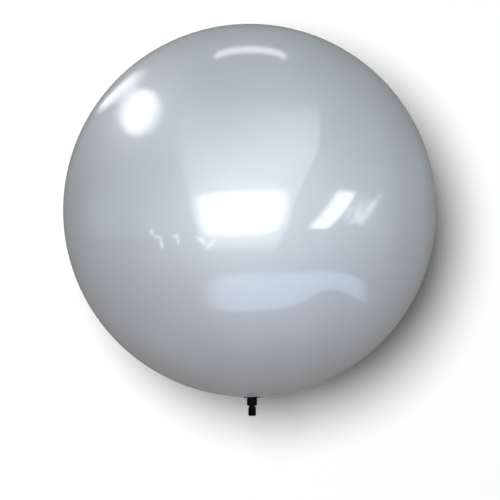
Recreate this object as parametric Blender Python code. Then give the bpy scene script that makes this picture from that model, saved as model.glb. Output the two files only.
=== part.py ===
"""A silver PVC advertising balloon: a seamless sphere with a black neck and a pull-out stopper at its foot.

Blender 4.5, metres, +Z up. The origin is the sphere's centre, where the air lifts it.
Run with blender --background --python part.py, or from Blender's text editor.
"""
import math

import bmesh
import bpy

# Driving dimensions
ENVELOPE_RADIUS = 1.000      # a 2 m sphere
ENVELOPE_WALL = 0.010        # stands for the film, which is 0.2 mm thick
SEAT_GAP = 0.0003            # between pieces that touch on the real balloon

# Neck, with lengths measured down from the sphere's lowest point
FLANGE_RADIUS = 0.046
FLANGE_THICKNESS = 0.0035
COLLAR_RADIUS = 0.0272
COLLAR_FOOT = 0.0475
COLLAR_CHAMFER = 0.0045
SPIGOT_RADIUS = 0.022        # the collar's upper end, which passes through the film
BORE_RADIUS = 0.0158
BORE_LEAD_IN = 0.0015

# Stopper, also measured down from the sphere's lowest point
WAIST_RADIUS = 0.0155
GRIP_RADIUS = 0.0205
SHOULDER_TOP = 0.0505        # the waist ends and the grip's sloping shoulder starts
SHOULDER_HEIGHT = 0.0078
STOPPER_FOOT = 0.1018
GRIP_CHAMFER = 0.0038
SHANK_TOP = 0.0080
SHANK_RADIUS = 0.0143        # between the sealing ribs
SHANK_TIP_CHAMFER = 0.0020
RIB_COUNT = 3
RIB_PITCH = 0.0090
RIB_WIDTH = 0.0044

# Facets
ROUND_ENVELOPE = 64
QUARTER_STEPS = 16           # from a pole to the equator
ROUND_NECK = 48
SEAT_STEPS = 2               # on the film and on the flange, where they meet
RIB_STEPS = 4
MERGE_DISTANCE = 1e-6
SHARP_ANGLE = math.radians(30)

# Sizes worked out from those above
HOLE_RADIUS = SPIGOT_RADIUS + SEAT_GAP
INSIDE_RADIUS = ENVELOPE_RADIUS - ENVELOPE_WALL
FLANGE_FOOT = SEAT_GAP + FLANGE_THICKNESS


def clear_scene():
    for obj in list(bpy.data.objects):
        bpy.data.objects.remove(obj)


def material(name, colour, roughness, metallic):
    made = bpy.data.materials.new(name)
    made.use_nodes = True
    shader = made.node_tree.nodes["Principled BSDF"]
    shader.inputs["Base Color"].default_value = (*colour, 1.0)
    shader.inputs["Roughness"].default_value = roughness
    shader.inputs["Metallic"].default_value = metallic
    made.diffuse_color = (*colour, 1.0)
    return made


def axis_empty(name, height):
    """An empty on the balloon's vertical axis, which carries pieces of the neck."""
    empty = bpy.data.objects.new(name, None)
    empty.empty_display_size = FLANGE_RADIUS
    empty.location = (0.0, 0.0, height)
    bpy.context.scene.collection.objects.link(empty)
    return empty


def sphere_arc(radius, start, end, steps):
    """Points (r, z) on a circle about the origin, at polar angles from start to end, counted from +Z."""
    angles = [start + (end - start) * k / steps for k in range(steps + 1)]
    return [(radius * math.sin(a), radius * math.cos(a)) for a in angles]


def turned(name, outline, segments, finish, ring=False):
    """A solid turned about its own Z axis from an outline of (r, z). A ring's outline closes on itself."""
    bm = bmesh.new()
    verts = [bm.verts.new((max(r, 0.0), 0.0, z)) for r, z in outline]
    followers = verts[1:] + verts[:1] if ring else verts[1:]
    edges = [bm.edges.new(pair) for pair in zip(verts, followers)]
    bmesh.ops.spin(bm, geom=verts + edges, cent=(0, 0, 0), axis=(0, 0, 1),
                   angle=2 * math.pi, steps=segments, use_merge=True)
    bmesh.ops.remove_doubles(bm, verts=bm.verts, dist=MERGE_DISTANCE)
    bmesh.ops.recalc_face_normals(bm, faces=bm.faces)
    mesh = bpy.data.meshes.new(name)
    bm.to_mesh(mesh)
    bm.free()
    mesh.shade_smooth()
    mesh.set_sharp_from_angle(angle=SHARP_ANGLE)
    mesh.materials.append(finish)
    obj = bpy.data.objects.new(name, mesh)
    bpy.context.scene.collection.objects.link(obj)
    return obj


def make_envelope(finish):
    """The inflated sphere: outside from the top pole down to the hole, through the hole, and back up inside."""
    equator = math.pi / 2
    seat_rim = math.pi - math.asin(FLANGE_RADIUS / ENVELOPE_RADIUS)
    outside_hole = math.pi - math.asin(HOLE_RADIUS / ENVELOPE_RADIUS)
    inside_hole = math.pi - math.asin(HOLE_RADIUS / INSIDE_RADIUS)
    outline = sphere_arc(ENVELOPE_RADIUS, 0.0, equator, QUARTER_STEPS)
    outline += sphere_arc(ENVELOPE_RADIUS, equator, seat_rim, QUARTER_STEPS)[1:]
    outline += sphere_arc(ENVELOPE_RADIUS, seat_rim, outside_hole, SEAT_STEPS)[1:]
    outline += sphere_arc(INSIDE_RADIUS, inside_hole, equator, QUARTER_STEPS)
    outline += sphere_arc(INSIDE_RADIUS, equator, 0.0, QUARTER_STEPS)[1:]
    return turned("envelope", outline, ROUND_ENVELOPE, finish)


def make_flange(finish, neck):
    """The thin disc welded round the hole. Its top follows the sphere and its underside is flat."""
    seat = ENVELOPE_RADIUS + SEAT_GAP
    top = sphere_arc(seat, math.pi - math.asin(HOLE_RADIUS / seat),
                     math.pi - math.asin(FLANGE_RADIUS / seat), SEAT_STEPS)
    top = [(r, z + ENVELOPE_RADIUS) for r, z in top]
    underside = [(FLANGE_RADIUS, -FLANGE_FOOT), (HOLE_RADIUS, -FLANGE_FOOT)]
    flange = turned("neck_flange", top + underside, ROUND_NECK, finish, ring=True)
    flange.parent = neck
    return flange


def make_collar(finish, neck):
    """The tube under the flange, with a spigot that passes up through the film and ends flush inside."""
    shoulder = -(FLANGE_FOOT + SEAT_GAP)
    outline = [
        (BORE_RADIUS, ENVELOPE_WALL),
        (SPIGOT_RADIUS, ENVELOPE_WALL),
        (SPIGOT_RADIUS, shoulder),
        (COLLAR_RADIUS, shoulder),
        (COLLAR_RADIUS, COLLAR_CHAMFER - COLLAR_FOOT),
        (COLLAR_RADIUS - COLLAR_CHAMFER, -COLLAR_FOOT),
        (BORE_RADIUS + BORE_LEAD_IN, -COLLAR_FOOT),
        (BORE_RADIUS, BORE_LEAD_IN - COLLAR_FOOT),
    ]
    collar = turned("neck_collar", outline, ROUND_NECK, finish, ring=True)
    collar.parent = neck
    return collar


def sealing_rib(top):
    """Points (r, z) of one rounded rib, from its top edge to its foot, as half a sine wave."""
    points = []
    for k in range(RIB_STEPS + 1):
        share = k / RIB_STEPS
        swell = (WAIST_RADIUS - SHANK_RADIUS) * math.sin(math.pi * share)
        points.append((SHANK_RADIUS + swell, top - RIB_WIDTH * share))
    return points


def make_stopper(finish, pull):
    """The bung: a ribbed shank inside the collar, a bare waist below it, and a grip to pull it out by."""
    waist_top = -COLLAR_FOOT + BORE_LEAD_IN
    outline = [
        (0.0, -SHANK_TOP),
        (SHANK_RADIUS - SHANK_TIP_CHAMFER, -SHANK_TOP),
        (SHANK_RADIUS, -SHANK_TOP - SHANK_TIP_CHAMFER),
    ]
    for rib in range(RIB_COUNT):
        outline += sealing_rib(-SHANK_TOP - 2 * SHANK_TIP_CHAMFER - RIB_PITCH * rib)
    outline += [
        (SHANK_RADIUS, waist_top + WAIST_RADIUS - SHANK_RADIUS),
        (WAIST_RADIUS, waist_top),
        (WAIST_RADIUS, -SHOULDER_TOP),
        (GRIP_RADIUS, -SHOULDER_TOP - SHOULDER_HEIGHT),
        (GRIP_RADIUS, GRIP_CHAMFER - STOPPER_FOOT),
        (GRIP_RADIUS - GRIP_CHAMFER, -STOPPER_FOOT),
        (0.0, -STOPPER_FOOT),
    ]
    from_mouth = [(r, z + COLLAR_FOOT) for r, z in outline]
    stopper = turned("stopper", from_mouth, ROUND_NECK, finish)
    stopper.parent = pull
    return stopper


def main():
    clear_scene()
    film = material("silver_film", (0.50, 0.54, 0.58), 0.22, 0.35)
    sheet = material("black_sheet", (0.014, 0.014, 0.015), 0.30, 0.0)
    moulding = material("black_moulding", (0.012, 0.012, 0.013), 0.38, 0.0)
    rubber = material("black_rubber", (0.010, 0.010, 0.010), 0.50, 0.0)

    neck = axis_empty("neck", -ENVELOPE_RADIUS)
    pull = axis_empty("stopper_pull", -ENVELOPE_RADIUS - COLLAR_FOOT)
    make_envelope(film)
    make_flange(sheet, neck)
    make_collar(moulding, neck)
    make_stopper(rubber, pull)


main()
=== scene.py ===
"""Looks of the PVC advertising balloon: film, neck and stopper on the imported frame, camera and lights."""
import math

import bpy
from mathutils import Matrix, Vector, noise


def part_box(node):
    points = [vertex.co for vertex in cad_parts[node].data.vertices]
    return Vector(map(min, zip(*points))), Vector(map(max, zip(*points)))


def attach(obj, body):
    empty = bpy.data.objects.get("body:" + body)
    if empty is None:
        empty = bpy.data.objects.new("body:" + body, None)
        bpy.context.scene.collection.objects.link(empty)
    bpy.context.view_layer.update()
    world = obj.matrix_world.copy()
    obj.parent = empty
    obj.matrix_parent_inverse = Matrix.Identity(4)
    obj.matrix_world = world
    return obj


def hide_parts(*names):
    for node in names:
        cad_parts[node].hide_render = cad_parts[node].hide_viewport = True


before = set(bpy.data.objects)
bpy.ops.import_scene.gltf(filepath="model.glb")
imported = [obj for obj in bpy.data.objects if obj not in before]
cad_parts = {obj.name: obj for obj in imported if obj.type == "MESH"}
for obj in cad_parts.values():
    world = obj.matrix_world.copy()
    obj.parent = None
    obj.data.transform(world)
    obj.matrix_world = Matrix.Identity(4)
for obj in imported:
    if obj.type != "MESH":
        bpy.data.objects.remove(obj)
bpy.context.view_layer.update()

# Sizes read from the frame, in metres
ENVELOPE_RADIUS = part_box("envelope")[1].z
FLANGE_LOW, FLANGE_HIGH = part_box("neck_flange")
COLLAR_LOW, COLLAR_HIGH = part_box("neck_collar")
STOPPER_LOW, STOPPER_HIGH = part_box("stopper")

# Sizes that the frame's boxes don't give, in metres, as in the solids
ENVELOPE_WALL = 0.010
SEAT_GAP = 0.0003
SPIGOT_RADIUS = 0.022
BORE_RADIUS = 0.0158
COLLAR_CHAMFER = 0.0045
BORE_LEAD_IN = 0.0015
WAIST_RADIUS = 0.0155
SHOULDER_TOP = 0.0505        # down from the sphere's lowest point
SHOULDER_HEIGHT = 0.0078
GRIP_CHAMFER = 0.0038
SHANK_RADIUS = 0.0143
SHANK_TIP_CHAMFER = 0.0020
RIB_COUNT = 3
RIB_PITCH = 0.0090
RIB_WIDTH = 0.0044

# Folds in the film round the neck, where the weld has drawn it in. Distances from the axis are in metres
FOLDS_START = 0.047
FOLDS_END = 0.24
FOLD_DEPTH = 0.0030
FOLD_RISE = 0.12             # share of the way from start to end in which the folds reach their depth
FOLD_DENSITY = 6.5           # of the noise round the neck that has the folds as its ridges
FOLD_NARROWING = 2.2
FOLD_DRIFT = 1.5             # how far the noise moves on along a fold, so that folds end and branch
SHALLOWEST_FOLD = 0.35       # as a share of the deepest
UNEVEN_DENSITY = 1.7         # of the slower noise that sets how deep each fold is
UNEVEN_PLACE = Vector((7.0, 3.0, 0))

# Round edges and weld beads of the neck, in metres. Roundings follow the order of each outline's corners
COLLAR_ROUNDINGS = (0.0005, 0.0005, 0, 0.0008, 0.003, 0.0015, 0.0005, 0.0005)
SHANK_TIP_ROUNDINGS = (0, 0.0008, 0.0008)
WAIST_AND_GRIP_ROUNDINGS = (0.0005, 0.0005, 0.0015, 0.003, 0.002, 0.001, 0)
LONGEST_ROUNDING = 0.45      # as a share of the edge that it is cut from
RIM_ROUNDING = 0.0010
WELD_BEADS = (0.0315, 0.0410)
BEAD_WIDTH = 0.0016
BEAD_HEIGHT = 0.0004

# Fineness of the meshes: steps in a full turn, and along the outlines
FILM_TURN = 288
NECK_TURN = 96
FINE_FILM_ANGLE = 0.24       # from the lower pole to where the film's mesh gets coarser, in radians
COARSE_FILM_STEPS = 110
FINE_FILM_STEPS = 32
INSIDE_STEPS = 48
SEAT_STEPS = 6
RIM_STEPS = 6
BEAD_STEPS = 8
RIB_STEPS = 12
CORNER_STEPS = 5
SHARP_ANGLE = math.radians(40)
AXIS_RADIUS = 1e-6           # within it a point of an outline lies on the axis

# Where the photograph shows the balloon, in the pixels of its 500 by 500 frame
FRAME_PX = 500
SPHERE_CENTRE_PX = (249.66, 210.5)
SPHERE_RADIUS_PX = 186.6
NECK_CENTRE_PX = 252.0

CAMERA_DISTANCE = 17.6
CAMERA_CLIP_END = 400
SENSOR_WIDTH = 36.0

# What the film mirrors in the photograph. Each pair is a strip's left and right pixel, from end to end
WINDOW_PX = [
    ((206, 190), (286, 182)), ((191, 196), (293, 192)), ((189, 204), (294, 202)), ((191, 216), (292, 215)),
    ((197, 230), (284, 229)), ((208, 244), (262, 239)),
]
LIT_WALL_PX = [
    ((184, 98), (314, 98)), ((176, 108), (319, 108)), ((172, 118), (322, 117)), ((171, 134), (322, 133)),
    ((173, 152), (319, 152)), ((179, 172), (310, 172)), ((184, 190), (301, 190)), ((187, 207), (295, 206)),
    ((192, 226), (290, 226)), ((204, 256), (272, 256)),
]
WALL_CORNER_PX = [
    ((232, 102), (317, 102)), ((232, 118), (322, 117)), ((234, 134), (322, 133)), ((238, 152), (319, 152)),
    ((248, 172), (310, 172)), ((256, 188), (302, 188)),
]
SIDE_WINDOW_PX = [
    ((335, 187), (359, 189)), ((329, 197), (356, 199)), ((322, 207), (350, 209)), ((315, 216), (342, 218)),
    ((309, 223), (335, 225)), ((301, 230), (329, 230)),
]
CEILING_LAMP_PX = [
    ((208, 58), (218, 62)), ((217, 49), (223, 59)), ((234, 44), (235, 57)), ((251, 43), (251, 56)),
    ((267, 44), (267, 57)), ((282, 48), (278, 59)), ((293, 57), (284, 63)),
]
EDGE_LAMP_PX = [
    ((93, 117), (96, 120)), ((99, 105), (104, 113)), ((106, 97), (113, 107)), ((114, 88), (122, 102)),
    ((122, 80), (131, 99)), ((131, 72), (140, 91)), ((141, 67), (148, 82)), ((152, 65), (156, 74)),
]
FLOOR_BAND_PX = [
    ((198, 284), (198, 303)), ((209, 277), (209, 311)), ((226, 271), (226, 315)), ((245, 269), (245, 316)),
    ((268, 269), (268, 314)), ((290, 269), (290, 311)), ((305, 269), (305, 304)), ((322, 269), (322, 293)),
    ((336, 270), (336, 291)), ((350, 272), (350, 297)), ((362, 277), (362, 304)), ((374, 284), (374, 307)),
]
RIGHT_WALL_PX = [
    ((346, 92), (370, 98)), ((344, 116), (382, 116)), ((346, 142), (388, 142)), ((350, 170), (392, 170)),
    ((352, 200), (393, 200)), ((352, 230), (393, 230)), ((350, 262), (390, 262)), ((350, 290), (379, 288)),
]
SIDE_HAZE_PX = [
    ((300, 176), (366, 172)), ((296, 200), (372, 198)), ((296, 224), (376, 224)), ((292, 250), (380, 248)),
    ((286, 272), (380, 272)), ((290, 292), (374, 290)),
]
DOOR_PX = [
    ((400, 120), (416, 130)), ((406, 150), (426, 155)), ((408, 185), (431, 185)), ((408, 220), (432, 220)),
    ((408, 250), (430, 252)), ((402, 285), (422, 290)),
]
LEFT_WALL_PX = [
    ((84, 150), (186, 150)), ((78, 175), (190, 175)), ((74, 200), (194, 200)), ((74, 222), (200, 222)),
    ((78, 241), (206, 241)),
]

# Ellipses that the film mirrors: centre, half width, half length, and lean in degrees
ROUND_LAMP_PX = ((140.3, 112.2), 29.0, 27.5, 26.0)
LEFT_GLINTS_PX = [
    ((152.0, 231.5), 3.5, 5.0, 15), ((157.5, 237.0), 3.0, 6.0, 95), ((161.5, 243.5), 3.5, 7.0, -10),
    ((178.0, 239.0), 3.0, 7.5, -5), ((174.5, 236.0), 2.5, 4.0, 80), ((201.5, 240.0), 4.0, 8.0, -55),
    ((211.0, 244.5), 3.5, 8.0, 45),
]
RIGHT_GLINTS_PX = [
    ((358.0, 214.0), 6.0, 11.0, 10), ((369.0, 208.5), 4.5, 13.0, 38), ((362.0, 221.0), 5.0, 8.0, -10),
    ((376.0, 202.0), 4.5, 15.0, 32), ((348.5, 214.0), 5.0, 12.0, 25), ((363.0, 211.0), 19.0, 19.0, 30),
    ((366.0, 217.0), 3.5, 9.0, 75), ((352.0, 222.0), 4.0, 8.0, 60),
]
ELLIPSE_END = 0.02           # half width at an ellipse's two ends, as a share of that at its middle

# Film: pearl flakes in clear PVC, under a glossy skin. Depths are in metres
FILM_DARK = (0.66, 0.70, 0.74)
FILM_LIGHT = (0.72, 0.76, 0.80)
FILM_METALLIC = 0.25
FILM_ROUGHNESS = (0.48, 0.56)
FLAKE_DEPTH = 0.00003
FLAKE_SHARE = 0.35           # of the film's mottling. The clouds give the rest
SWAY_DEPTH = 0.0015
PEEL_DEPTH = 0.00004
SKIN_ROUGHNESS = 0.055
SKIN_IOR = 1.9
SKIN_AT_WELD = 0.0           # share of the gloss left at the flange, where welding and handling dulled it
DULL_END = 0.42              # from the neck to where the film is fully glossy, in metres

# Finishes of the neck: name, darkest and palest colour, roughness, grain's scale and depth, and if moulded
BLACK_SHEET = (
    "black_sheet", (0.002, 0.002, 0.0022), (0.004, 0.004, 0.0043), (0.30, 0.45), 900.0, 0.00005, False)
BLACK_MOULDING = (
    "black_moulding", (0.0015, 0.0015, 0.0017), (0.0035, 0.0035, 0.0038), (0.40, 0.55), 1400.0, 0.00008, True)
BLACK_RUBBER = (
    "black_rubber", (0.001, 0.001, 0.001), (0.003, 0.003, 0.003), (0.55, 0.72), 2200.0, 0.00010, True)
BLACK_SPECULAR = 0.04

# Noises: scale per metre and detail, then roughness where it isn't 0.5
CLOUD_NOISE = (1.6, 3.0)
FLAKE_NOISE = (420.0, 1.0)
SMUDGE_NOISE = (3.0, 2.0)
SWAY_NOISE = (2.2, 1.0)
PEEL_NOISE = (26.0, 2.0)
MARKS_NOISE = (60.0, 4.0, 0.6)

# Ridge where the two halves of the mould met, on a piece's left and right sides, in metres
PARTING_LINE_HALF_WIDTH = 0.0005
PARTING_LINE_HEIGHT = 0.00025

# Floor and backdrop: places in metres, and how far from the balloon the paint starts to fade and is gone
FLOOR_DEPTH = 1.72
FLOOR_REACH = (4.0, 14.0)
FLOOR_GREY = (0.78, 0.78, 0.78)
BACKDROP_GAP = 0.06
BACKDROP_REACH = (2.6, 4.6)
BACKDROP_GREY = (0.05, 0.05, 0.05)
PAINT_ROUGHNESS = 0.9

WHITE = (1.0, 1.0, 1.0)
PALE = (0.94, 0.98, 1.0)
COOL = (0.78, 0.93, 1.0)
BLUE = (0.62, 0.79, 1.0)
DEEP_BLUE = (0.33, 0.72, 1.0)
SEA_GREEN = (0.89, 1.0, 0.98)
SKY_BLUE = (0.63, 0.94, 1.0)
LEAF_GREEN = (0.90, 1.0, 0.90)

# Oval lamp that throws the balloon's shadow on the backdrop: place, width and height in metres, and watts
WALL_LAMP = ((-3.37, -25.0, 2.64), 7.8, 9.4, 128000.0)

# Suns: azimuth from the camera's side, elevation and disc, all in degrees, then strength and colour
WALL_FILL = (0.0, 0.0, 0.0, 6.6, WHITE)
FLOOR_SUN = (180.0, 76.0, 75.0, 3.4, WHITE)
FRONT_SUN = (-7.0, 12.0, 60.0, 1.09, LEAF_GREEN)
REAR_SUN = (190.0, 20.0, 60.0, 1.2, COOL)

# The studio's own light: from below, from above, and what the camera's side adds
STUDIO_BELOW = (0.214, 0.180, 0.134)
STUDIO_ABOVE = (0.227, 0.242, 0.228)
STUDIO_FRONT = (0.183, 0.191, 0.290)
BLACK = (0.0, 0.0, 0.0)

# Panels of light that only the film mirrors. A grid is a mesh's steps across a strip and along each section
PANEL_DISTANCE = 14.0
PANEL_GRID = (12, 6)
GLINT_GRID = (6, 2)
LAMP_SECTIONS = 9
GLINT_SECTIONS = 7
GLINT_SOFTNESS = (0.5, 0.5, 0.5, 0.5)
LEFT_GLINT_STRENGTH = 2.5
RIGHT_GLINT_STRENGTH = 1.25


class View:
    """The photograph's camera: level, with the slight roll that the neck's place in the picture shows."""

    def __init__(self):
        tangent_distance = math.sqrt(CAMERA_DISTANCE ** 2 - ENVELOPE_RADIUS ** 2)
        self.tan_half = (FRAME_PX / 2 / SPHERE_RADIUS_PX) / tangent_distance
        self.per_px = CAMERA_DISTANCE * self.tan_half / (FRAME_PX / 2)
        self.roll = -math.asin((NECK_CENTRE_PX - SPHERE_CENTRE_PX[0]) / SPHERE_RADIUS_PX)
        self.right = Vector((math.cos(self.roll), 0, math.sin(self.roll)))
        self.up = Vector((-math.sin(self.roll), 0, math.cos(self.roll)))
        self.forward = Vector((0, 1, 0))
        aside = (SPHERE_CENTRE_PX[0] - FRAME_PX / 2) * self.per_px
        above = (FRAME_PX / 2 - SPHERE_CENTRE_PX[1]) * self.per_px
        self.place = -self.forward * CAMERA_DISTANCE - self.right * aside - self.up * above

    def ray(self, px, py):
        """Direction from the camera through a pixel of the photograph's frame."""
        across = (px / (FRAME_PX / 2) - 1) * self.tan_half
        down = (py / (FRAME_PX / 2) - 1) * self.tan_half
        return (self.forward + self.right * across - self.up * down).normalized()

    def mirrored(self, px, py, reach):
        """The point, at a distance of reach from the balloon's centre, that the film mirrors at a pixel."""
        ray = self.ray(px, py)
        closest = -self.place.dot(ray)
        miss = (self.place + ray * closest).length
        inside = math.sqrt(max(ENVELOPE_RADIUS ** 2 - miss ** 2, 0.0))
        hit = self.place + ray * (closest - inside)
        normal = hit.normalized()
        out = ray - 2 * ray.dot(normal) * normal
        along = -hit.dot(out) + math.sqrt(hit.dot(out) ** 2 + reach ** 2 - hit.length_squared)
        return hit + out * along


def make_camera(view):
    data = bpy.data.cameras.new("camera")
    data.sensor_width = SENSOR_WIDTH
    data.lens = SENSOR_WIDTH / 2 / view.tan_half
    data.clip_end = CAMERA_CLIP_END
    camera = bpy.data.objects.new("camera", data)
    bpy.context.scene.collection.objects.link(camera)
    camera.location = view.place
    camera.rotation_euler = (math.pi / 2, -view.roll, 0)
    bpy.context.scene.camera = camera


def linked(name, mesh, finish):
    """An object in the scene that shows a mesh in one finish."""
    mesh.materials.clear()
    mesh.materials.append(finish)
    obj = bpy.data.objects.new(name, mesh)
    bpy.context.scene.collection.objects.link(obj)
    return obj


def sphere_arc(radius, start, end, steps):
    """Points (r, z) on a circle about the origin, at polar angles from start to end, counted from +Z."""
    angles = [start + (end - start) * k / steps for k in range(steps + 1)]
    return [(radius * math.sin(a), radius * math.cos(a)) for a in angles]


def rounded(corners, radii):
    """An outline (r, z) with each corner replaced by an arc of its radius. A radius of 0 keeps the corner."""
    points = []
    count = len(corners)
    for k, (corner, radius) in enumerate(zip(corners, radii)):
        here = Vector(corner)
        before = Vector(corners[k - 1]) - here
        after = Vector(corners[(k + 1) % count]) - here
        if radius <= 0:
            points.append(tuple(here))
            continue
        half = before.angle(after) / 2
        longest = LONGEST_ROUNDING * min(before.length, after.length)
        reach = min(radius / math.tan(half), longest)
        start = here + before.normalized() * reach
        end = here + after.normalized() * reach
        for step in range(CORNER_STEPS + 1):
            t = step / CORNER_STEPS
            points.append(tuple(start * (1 - t) ** 2 + here * 2 * t * (1 - t) + end * t ** 2))
    return points


def turned(name, outline, segments, finish, ring=False):
    """A mesh turned about the Z axis from an outline of (r, z). A ring's outline closes on itself.

    An outline runs outward over the top, down the outside and back in, so that the faces look outward.
    """
    angles = [2 * math.pi * k / segments for k in range(segments)]
    points = []
    circles = []
    for r, z in outline:
        first = len(points)
        if r < AXIS_RADIUS:
            points.append((0.0, 0.0, z))
            circles.append([first] * segments)
        else:
            points += [(r * math.cos(a), r * math.sin(a), z) for a in angles]
            circles.append(list(range(first, first + segments)))
    followers = circles[1:] + circles[:1] if ring else circles[1:]
    faces = []
    for circle, follower in zip(circles, followers):
        for k in range(segments):
            after = (k + 1) % segments
            corners = (circle[k], follower[k], follower[after], circle[after])
            # On the axis two corners are one point, and the face is a triangle
            faces.append(tuple(dict.fromkeys(corners)))
    mesh = bpy.data.meshes.new(name)
    mesh.from_pydata(points, [], faces)
    mesh.shade_smooth()
    mesh.set_sharp_from_angle(angle=SHARP_ANGLE)
    return linked(name, mesh, finish)


class Nodes:
    """A short way to write a node tree: nodes by type, and links by naming what feeds each socket."""

    def __init__(self, tree):
        self.tree = tree

    def add(self, kind, settings=None, **inputs):
        node = self.tree.nodes.new(kind)
        for key, value in (settings or {}).items():
            setattr(node, key, value)
        for key, value in inputs.items():
            self.set(node, key.replace("_", " "), value)
        return node

    def set(self, node, socket, value):
        target = node.inputs[socket]
        if isinstance(value, bpy.types.NodeSocket):
            self.tree.links.new(value, target)
        else:
            target.default_value = value

    def maths(self, operation, first, second=0.0, third=0.0):
        node = self.tree.nodes.new("ShaderNodeMath")
        node.operation = operation
        for k, value in enumerate((first, second, third)):
            self.set(node, k, value)
        return node.outputs[0]

    def noise(self, place, scale, detail=2.0, roughness=0.5):
        node = self.add("ShaderNodeTexNoise", Vector=place, Scale=scale, Detail=detail, Roughness=roughness)
        return node.outputs["Fac"]

    def spread(self, value, low, high, low_in=0.3, high_in=0.7, curve="LINEAR"):
        """A value carried to the range from low to high, at first from the range that noise mostly fills."""
        node = self.add("ShaderNodeMapRange", {"interpolation_type": curve})
        for socket, number in (("Value", value), ("From Min", low_in), ("From Max", high_in),
                               ("To Min", low), ("To Max", high)):
            self.set(node, socket, number)
        return node.outputs["Result"]

    def tones(self, value, dark, light):
        """A colour from dark to light. The mix node's socket names repeat, so they go by number."""
        node = self.add("ShaderNodeMix", {"data_type": "RGBA"})
        for socket, setting in ((0, value), (6, (*dark, 1.0)), (7, (*light, 1.0))):
            self.set(node, socket, setting)
        return node.outputs[2]

    def bump(self, height, distance, strength=1.0, normal=None):
        node = self.add("ShaderNodeBump", Height=height, Distance=distance, Strength=strength)
        if normal is not None:
            self.set(node, "Normal", normal)
        return node.outputs["Normal"]


def new_material(name):
    """A material with its shader, and the place on the object that its textures read."""
    made = bpy.data.materials.new(name)
    made.use_nodes = True
    nodes = Nodes(made.node_tree)
    shader = made.node_tree.nodes["Principled BSDF"]
    place = nodes.add("ShaderNodeTexCoord").outputs["Object"]
    return made, nodes, shader, place


def film_material():
    """Pearl silver film: flakes and soft clouds under a glossy skin with a slow sway and a fine peel."""
    made, nodes, shader, place = new_material("silver_film")
    clouds = nodes.noise(place, *CLOUD_NOISE)
    flakes = nodes.noise(place, *FLAKE_NOISE)
    cloud_part = nodes.maths("MULTIPLY", clouds, 1.0 - FLAKE_SHARE)
    mixed = nodes.maths("MULTIPLY_ADD", flakes, FLAKE_SHARE, cloud_part)
    nodes.set(shader, "Base Color", nodes.tones(nodes.spread(mixed, 0, 1), FILM_DARK, FILM_LIGHT))
    smudges = nodes.noise(place, *SMUDGE_NOISE)
    nodes.set(shader, "Roughness", nodes.spread(smudges, *FILM_ROUGHNESS))
    nodes.set(shader, "Metallic", FILM_METALLIC)
    from_neck = nodes.add("ShaderNodeVectorMath", {"operation": "DISTANCE"})
    nodes.set(from_neck, 0, place)
    nodes.set(from_neck, 1, (0.0, 0.0, -ENVELOPE_RADIUS))
    skin = nodes.spread(from_neck.outputs["Value"], SKIN_AT_WELD, 1.0, FLANGE_HIGH.x, DULL_END, "SMOOTHSTEP")
    nodes.set(shader, "Coat Weight", skin)
    nodes.set(shader, "Coat Roughness", SKIN_ROUGHNESS)
    nodes.set(shader, "Coat IOR", SKIN_IOR)
    sway = nodes.bump(nodes.noise(place, *SWAY_NOISE), SWAY_DEPTH)
    peel = nodes.bump(nodes.noise(place, *PEEL_NOISE), PEEL_DEPTH, normal=sway)
    nodes.set(shader, "Coat Normal", peel)
    nodes.set(shader, "Normal", nodes.bump(flakes, FLAKE_DEPTH, normal=sway))
    return made


def black_material(name, dark, light, roughness, grain_scale, grain_depth, moulded):
    """A black finish with its own grain, handling marks in its gloss, and a parting line if moulded."""
    made, nodes, shader, place = new_material(name)
    marks = nodes.noise(place, *MARKS_NOISE)
    grain = nodes.noise(place, grain_scale)
    nodes.set(shader, "Base Color", nodes.tones(nodes.spread(marks, 0, 1), dark, light))
    nodes.set(shader, "Roughness", nodes.spread(marks, *roughness))
    nodes.set(shader, "Specular IOR Level", BLACK_SPECULAR)
    surface = nodes.bump(grain, grain_depth)
    if moulded:
        split = nodes.add("ShaderNodeSeparateXYZ", Vector=place)
        from_line = nodes.maths("ABSOLUTE", split.outputs["Y"])
        line = nodes.spread(from_line, 1.0, 0.0, 0.0, PARTING_LINE_HALF_WIDTH, "SMOOTHSTEP")
        surface = nodes.bump(line, PARTING_LINE_HEIGHT, normal=surface)
    nodes.set(shader, "Normal", surface)
    return made


def fold_depth(point):
    """How far the film is drawn in at a point near the neck."""
    away = math.hypot(point.x, point.y)
    if not FOLDS_START < away < FOLDS_END:
        return 0.0
    share = (away - FOLDS_START) / (FOLDS_END - FOLDS_START)
    swell = min(share / FOLD_RISE, 1.0) * (1.0 - share) ** 2
    around = Vector((point.x, point.y, 0)).normalized()
    drift = Vector((0, 0, FOLD_DRIFT * share))
    ridge = 1.0 - abs(noise.noise(around * FOLD_DENSITY + drift)) * FOLD_NARROWING
    unevenness = 0.5 + 0.5 * noise.noise(around * UNEVEN_DENSITY + UNEVEN_PLACE)
    keeps = SHALLOWEST_FOLD + (1.0 - SHALLOWEST_FOLD) * unevenness
    return FOLD_DEPTH * swell * max(ridge, 0.0) ** 2 * keeps


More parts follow.
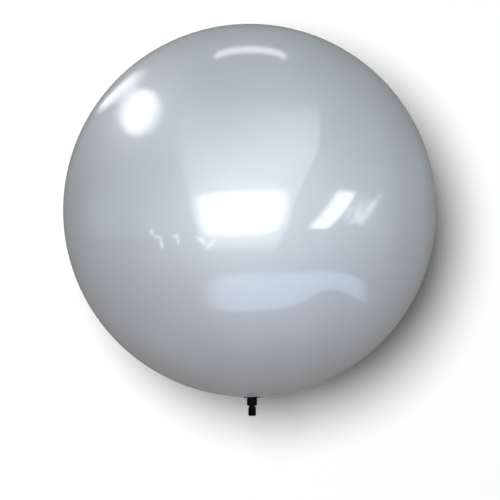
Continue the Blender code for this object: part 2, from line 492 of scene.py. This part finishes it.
def make_envelope(finish):
    """The film: outside from the top pole down, through the hole at the neck, and back up inside."""
    hole = SPIGOT_RADIUS + SEAT_GAP
    inside = ENVELOPE_RADIUS - ENVELOPE_WALL
    fine_start = math.pi - FINE_FILM_ANGLE
    outside_hole = math.pi - math.asin(hole / ENVELOPE_RADIUS)
    inside_hole = math.pi - math.asin(hole / inside)
    outline = sphere_arc(ENVELOPE_RADIUS, 0, fine_start, COARSE_FILM_STEPS)
    outline += sphere_arc(ENVELOPE_RADIUS, fine_start, outside_hole, FINE_FILM_STEPS)[1:]
    outline += sphere_arc(inside, inside_hole, 0, INSIDE_STEPS)
    film = turned("film_envelope", outline, FILM_TURN, finish)
    middle_of_wall = ENVELOPE_RADIUS - ENVELOPE_WALL / 2
    for vertex in film.data.vertices:
        if vertex.co.z < 0 and vertex.co.length > middle_of_wall:
            vertex.co -= vertex.co.normalized() * fold_depth(vertex.co)
    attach(film, "balloon")
    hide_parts("envelope")
    return film


def make_flange(finish):
    """The disc welded round the hole, with a round rim and two weld beads on its flat underside."""
    seat = ENVELOPE_RADIUS + SEAT_GAP
    hole = SPIGOT_RADIUS + SEAT_GAP
    rim = FLANGE_HIGH.x
    foot = FLANGE_LOW.z
    outline = sphere_arc(seat, math.pi - math.asin(hole / seat), math.pi - math.asin(rim / seat), SEAT_STEPS)
    for k in range(RIM_STEPS + 1):
        angle = math.pi / 2 * k / RIM_STEPS
        inward = RIM_ROUNDING * (1 - math.cos(angle))
        upward = RIM_ROUNDING * (1 - math.sin(angle))
        outline.append((rim - inward, foot + upward))
    for bead in reversed(WELD_BEADS):
        for k in range(BEAD_STEPS + 1):
            share = k / BEAD_STEPS
            swell = BEAD_HEIGHT * math.sin(math.pi * share)
            outline.append((bead + BEAD_WIDTH * (0.5 - share), foot - swell))
    outline.append((hole, foot))
    flange = turned("weld_flange", outline, NECK_TURN, finish, ring=True)
    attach(flange, "balloon")
    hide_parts("neck_flange")
    return flange


def make_collar(finish):
    """The tube under the flange, with its spigot up through the film."""
    shoulder = FLANGE_LOW.z - SEAT_GAP
    radius = COLLAR_HIGH.x
    foot = COLLAR_LOW.z
    corners = [
        (BORE_RADIUS, COLLAR_HIGH.z),
        (SPIGOT_RADIUS, COLLAR_HIGH.z),
        (SPIGOT_RADIUS, shoulder),
        (radius, shoulder),
        (radius, foot + COLLAR_CHAMFER),
        (radius - COLLAR_CHAMFER, foot),
        (BORE_RADIUS + BORE_LEAD_IN, foot),
        (BORE_RADIUS, foot + BORE_LEAD_IN),
    ]
    collar = turned("collar_tube", rounded(corners, COLLAR_ROUNDINGS), NECK_TURN, finish, ring=True)
    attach(collar, "balloon")
    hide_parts("neck_collar")
    return collar


def make_stopper(finish):
    """The bung: a ribbed shank, a bare waist and a chamfered grip."""
    bottom = -ENVELOPE_RADIUS
    waist_top = COLLAR_LOW.z + BORE_LEAD_IN
    corners = [
        (0, STOPPER_HIGH.z),
        (SHANK_RADIUS - SHANK_TIP_CHAMFER, STOPPER_HIGH.z),
        (SHANK_RADIUS, STOPPER_HIGH.z - SHANK_TIP_CHAMFER),
    ]
    roundings = list(SHANK_TIP_ROUNDINGS)
    for rib in range(RIB_COUNT):
        top = STOPPER_HIGH.z - 2 * SHANK_TIP_CHAMFER - RIB_PITCH * rib
        for k in range(RIB_STEPS + 1):
            swell = (WAIST_RADIUS - SHANK_RADIUS) * math.sin(math.pi * k / RIB_STEPS)
            corners.append((SHANK_RADIUS + swell, top - RIB_WIDTH * k / RIB_STEPS))
            roundings.append(0)
    corners += [
        (SHANK_RADIUS, waist_top + WAIST_RADIUS - SHANK_RADIUS),
        (WAIST_RADIUS, waist_top),
        (WAIST_RADIUS, bottom - SHOULDER_TOP),
        (STOPPER_HIGH.x, bottom - SHOULDER_TOP - SHOULDER_HEIGHT),
        (STOPPER_HIGH.x, STOPPER_LOW.z + GRIP_CHAMFER),
        (STOPPER_HIGH.x - GRIP_CHAMFER, STOPPER_LOW.z),
        (0, STOPPER_LOW.z),
    ]
    roundings += WAIST_AND_GRIP_ROUNDINGS
    stopper = turned("rubber_stopper", rounded(corners, roundings), NECK_TURN, finish)
    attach(stopper, "bung")
    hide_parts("stopper")
    return stopper


def stage_material(name, colour, reach):
    """Matt paint on the front only. It is whole up to the first distance in reach and gone at the second."""
    made = bpy.data.materials.new(name)
    made.use_nodes = True
    tree = made.node_tree
    nodes = Nodes(tree)
    shader = tree.nodes["Principled BSDF"]
    nodes.set(shader, "Base Color", (*colour, 1.0))
    nodes.set(shader, "Roughness", PAINT_ROUGHNESS)
    nodes.set(shader, "Specular IOR Level", 0.0)
    geometry = nodes.add("ShaderNodeNewGeometry")
    away = nodes.add("ShaderNodeVectorMath", {"operation": "LENGTH"}, Vector=geometry.outputs["Position"])
    gone = nodes.spread(away.outputs["Value"], 0.0, 1.0, *reach, "SMOOTHSTEP")
    gone = nodes.maths("MAXIMUM", gone, geometry.outputs["Backfacing"])
    clear = nodes.add("ShaderNodeBsdfTransparent")
    mix = nodes.add("ShaderNodeMixShader")
    for k, value in enumerate((gone, shader.outputs["BSDF"], clear.outputs["BSDF"])):
        nodes.set(mix, k, value)
    tree.links.new(mix.outputs["Shader"], tree.nodes["Material Output"].inputs["Surface"])
    return made


def stage_plane(name, corners, finish):
    """A floor or wall that the camera sees, and that neither lights nor mirrors in the balloon."""
    mesh = bpy.data.meshes.new(name)
    mesh.from_pydata(corners, [], [(0, 1, 2, 3)])
    plane = linked(name, mesh, finish)
    plane.visible_diffuse = False
    plane.visible_glossy = False
    plane.visible_shadow = False
    return plane


def make_stage():
    half = FLOOR_REACH[1]
    low = -FLOOR_DEPTH
    floor = stage_plane(
        "floor",
        [(-half, -half, low), (half, -half, low), (half, half, low), (-half, half, low)],
        stage_material("floor_paint", FLOOR_GREY, FLOOR_REACH))
    half = BACKDROP_REACH[1]
    wall = ENVELOPE_RADIUS + BACKDROP_GAP
    backdrop = stage_plane(
        "backdrop",
        [(-half, wall, low), (half, wall, low), (half, wall, half), (-half, wall, half)],
        stage_material("backdrop_paint", BACKDROP_GREY, BACKDROP_REACH))
    return floor, backdrop


def receivers(name, objects):
    """A group of objects, for the lights that shine on nothing else."""
    group = bpy.data.collections.new(name)
    for obj in objects:
        group.objects.link(obj)
    return group


def add_light(name, data, towards, group):
    """Puts a light in the scene that shines from a direction, on one group, and shows in no reflection."""
    lamp = bpy.data.objects.new(name, data)
    bpy.context.scene.collection.objects.link(lamp)
    lamp.rotation_mode = "QUATERNION"
    lamp.rotation_quaternion = towards.to_track_quat("Z", "Y")
    lamp.visible_glossy = False
    lamp.light_linking.receiver_collection = group
    return lamp


def make_sun(name, azimuth, elevation, disc, strength, colour, group):
    """A broad soft light from far away. An azimuth of 0 is the camera's side, and 90 the right side."""
    data = bpy.data.lights.new(name, "SUN")
    data.angle = math.radians(disc)
    data.energy = strength
    data.color = colour
    a, e = math.radians(azimuth), math.radians(elevation)
    towards = Vector((math.sin(a) * math.cos(e), -math.cos(a) * math.cos(e), math.sin(e)))
    return add_light(name, data, towards, group)


def make_lamp(name, place, width, height, power, group):
    """An oval lamp that faces the balloon and that the camera doesn't see."""
    data = bpy.data.lights.new(name, "AREA")
    data.shape = "ELLIPSE"
    data.size = width
    data.size_y = height
    data.energy = power
    lamp = add_light(name, data, Vector(place), group)
    lamp.location = place
    lamp.visible_camera = False
    return lamp


def panel_material(name, strength, tint, soft, growth):
    """Light that lies over what is behind it, and fades towards the panel's edges.

    Soft holds the fading shares at the left, right, first and last edge, and growth the light at the first
    end as a share of the light at the last.
    """
    made = bpy.data.materials.new(name)
    made.use_nodes = True
    tree = made.node_tree
    tree.nodes.clear()
    nodes = Nodes(tree)
    split = nodes.add("ShaderNodeSeparateXYZ", Vector=nodes.add("ShaderNodeUVMap").outputs["UV"])
    across, along = split.outputs["X"], split.outputs["Y"]
    inward = (across, nodes.maths("SUBTRACT", 1.0, across), along, nodes.maths("SUBTRACT", 1.0, along))
    fade = nodes.spread(along, strength * growth, strength, 0.0, 1.0)
    for place, share in zip(inward, soft):
        edge = nodes.spread(place, 0.0, 1.0, 0.0, share, "SMOOTHSTEP")
        fade = nodes.maths("MULTIPLY", fade, edge)
    light = nodes.add("ShaderNodeEmission", Color=(*tint, 1.0), Strength=fade)
    clear = nodes.add("ShaderNodeBsdfTransparent")
    both = nodes.add("ShaderNodeAddShader")
    nodes.set(both, 0, light.outputs["Emission"])
    nodes.set(both, 1, clear.outputs["BSDF"])
    out = nodes.add("ShaderNodeOutputMaterial")
    tree.links.new(both.outputs["Shader"], out.inputs["Surface"])
    return made


def make_panel(view, name, sections, strength, tint, soft, growth=1.0, grid=PANEL_GRID):
    """A light whose reflection in the film fills a strip of the picture.

    Each section is a pair of pixels, one on each side of the strip.
    """
    across, along = grid
    last = len(sections) - 1
    rows = [(k, step) for k in range(last) for step in range(along)] + [(last - 1, along)]
    points = []
    places = []
    for k, row_step in rows:
        t = row_step / along
        left = Vector(sections[k][0]).lerp(Vector(sections[k + 1][0]), t)
        right = Vector(sections[k][1]).lerp(Vector(sections[k + 1][1]), t)
        for step in range(across + 1):
            px, py = left.lerp(right, step / across)
            points.append(view.mirrored(px, py, PANEL_DISTANCE))
            places.append((step / across, (k + t) / last))
    faces = []
    width = across + 1
    for row in range(len(rows) - 1):
        for step in range(across):
            first = row * width + step
            faces.append((first, first + 1, first + 1 + width, first + width))
    mesh = bpy.data.meshes.new(name)
    mesh.from_pydata(points, [], faces)
    layer = mesh.uv_layers.new(name="UVMap")
    for loop in mesh.loops:
        layer.data[loop.index].uv = places[loop.vertex_index]
    panel = linked(name, mesh, panel_material(name, strength, tint, soft, growth))
    panel.visible_camera = False
    panel.visible_diffuse = False
    panel.visible_shadow = False
    return panel


def ellipse_sections(centre, half_width, half_length, lean, count):
    """Sections of an ellipse in the picture, from end to end. Lean turns it clockwise, in degrees."""
    c, s = math.cos(math.radians(lean)), math.sin(math.radians(lean))
    sections = []
    for k in range(count):
        along = math.cos(math.pi * k / (count - 1))
        reach = math.sqrt(max(1 - along ** 2, ELLIPSE_END ** 2))
        pair = []
        for side in (-1, 1):
            x, y = side * reach * half_width, -along * half_length
            pair.append((centre[0] + x * c - y * s, centre[1] + x * s + y * c))
        sections.append(tuple(pair))
    return sections


def make_glints(view, name, ellipses, strength, tint):
    for k, ellipse in enumerate(ellipses):
        sections = ellipse_sections(*ellipse, GLINT_SECTIONS)
        make_panel(view, f"{name}_{k}", sections, strength, tint, GLINT_SOFTNESS, grid=GLINT_GRID)


def make_panels(view):
    round_lamp = ellipse_sections(*ROUND_LAMP_PX, LAMP_SECTIONS)
    # Name, sections, strength, tint, fading at the left, right, first and last edge, and growth
    panels = (
        ("window", WINDOW_PX, 2.6, WHITE, (0.15, 0.13, 0.28, 0.22), 1.0),
        ("lit_wall", LIT_WALL_PX, 1.28, SEA_GREEN, (0.08, 0.025, 0.10, 0.06), 0.0),
        ("wall_corner", WALL_CORNER_PX, 0.57, COOL, (0.8, 0.04, 0.15, 0.4), 1.0),
        ("side_window", SIDE_WINDOW_PX, 4.2, WHITE, (0.35, 0.22, 0.12, 0.12), 1.0),
        ("round_lamp", round_lamp, 5.6, WHITE, (0.5, 0.5, 0.42, 0.42), 1.0),
        ("ceiling_lamp", CEILING_LAMP_PX, 2.27, WHITE, (0.5, 0.5, 0.1, 0.1), 1.0),
        ("edge_lamp", EDGE_LAMP_PX, 1.9, WHITE, (0.25, 0.65, 0.25, 0.4), 1.0),
        ("floor_band", FLOOR_BAND_PX, 1.37, BLUE, (0.2, 0.2, 0.18, 0.15), 1.0),
        ("right_wall", RIGHT_WALL_PX, 0.17, DEEP_BLUE, (0.8, 0.08, 0.2, 0.2), 1.0),
        ("side_haze", SIDE_HAZE_PX, 0.11, DEEP_BLUE, (0.3, 0.3, 0.3, 0.2), 1.0),
        ("door", DOOR_PX, 0.15, DEEP_BLUE, (0.3, 0.6, 0.3, 0.3), 1.0),
        ("left_wall", LEFT_WALL_PX, 0.34, SKY_BLUE, (0.3, 0.45, 0.8, 0.1), 1.0),
    )
    for panel in panels:
        make_panel(view, *panel)
    make_glints(view, "left_glint", LEFT_GLINTS_PX, LEFT_GLINT_STRENGTH, WHITE)
    make_glints(view, "right_glint", RIGHT_GLINTS_PX, RIGHT_GLINT_STRENGTH, PALE)


def make_world(low, high, front):
    """A studio that is paler overhead than below, with more light from the camera's side."""
    world = bpy.data.worlds.new("studio")
    bpy.context.scene.world = world
    world.use_nodes = True
    tree = world.node_tree
    tree.nodes.clear()
    nodes = Nodes(tree)
    direction = nodes.add("ShaderNodeTexCoord").outputs["Generated"]
    split = nodes.add("ShaderNodeSeparateXYZ", Vector=direction)
    height = nodes.spread(split.outputs["Z"], 0.0, 1.0, -1.0, 1.0)
    nearness = nodes.spread(split.outputs["Y"], 1.0, 0.0, -1.0, 1.0)
    around = nodes.add("ShaderNodeBackground", Color=nodes.tones(height, low, high))
    ahead = nodes.add("ShaderNodeBackground", Color=nodes.tones(nearness, BLACK, front))
    shade = nodes.add("ShaderNodeAddShader")
    nodes.set(shade, 0, around.outputs["Background"])
    nodes.set(shade, 1, ahead.outputs["Background"])
    eye = nodes.add("ShaderNodeLightPath").outputs["Is Camera Ray"]
    seen = nodes.add("ShaderNodeBackground", Color=(*WHITE, 1.0))
    mix = nodes.add("ShaderNodeMixShader")
    for k, value in enumerate((eye, shade.outputs["Shader"], seen.outputs["Background"])):
        nodes.set(mix, k, value)
    out = nodes.add("ShaderNodeOutputWorld")
    tree.links.new(mix.outputs["Shader"], out.inputs["Surface"])


def main():
    bpy.context.scene.view_settings.view_transform = "Standard"
    view = View()
    make_camera(view)
    film = make_envelope(film_material())
    flange = make_flange(black_material(*BLACK_SHEET))
    collar = make_collar(black_material(*BLACK_MOULDING))
    stopper = make_stopper(black_material(*BLACK_RUBBER))
    floor, backdrop = make_stage()
    lit_balloon = receivers("lit_balloon", (film, flange, collar, stopper))
    lit_backdrop = receivers("lit_backdrop", (backdrop,))
    lit_floor = receivers("lit_floor", (floor,))
    make_lamp("wall_light", *WALL_LAMP, lit_backdrop)
    wall_fill = make_sun("wall_fill", *WALL_FILL, lit_backdrop)
    wall_fill.data.use_shadow = False
    make_sun("floor_light", *FLOOR_SUN, lit_floor)
    make_sun("front_light", *FRONT_SUN, lit_balloon)
    make_sun("rear_light", *REAR_SUN, lit_balloon)
    make_world(STUDIO_BELOW, STUDIO_ABOVE, STUDIO_FRONT)
    make_panels(view)


main()
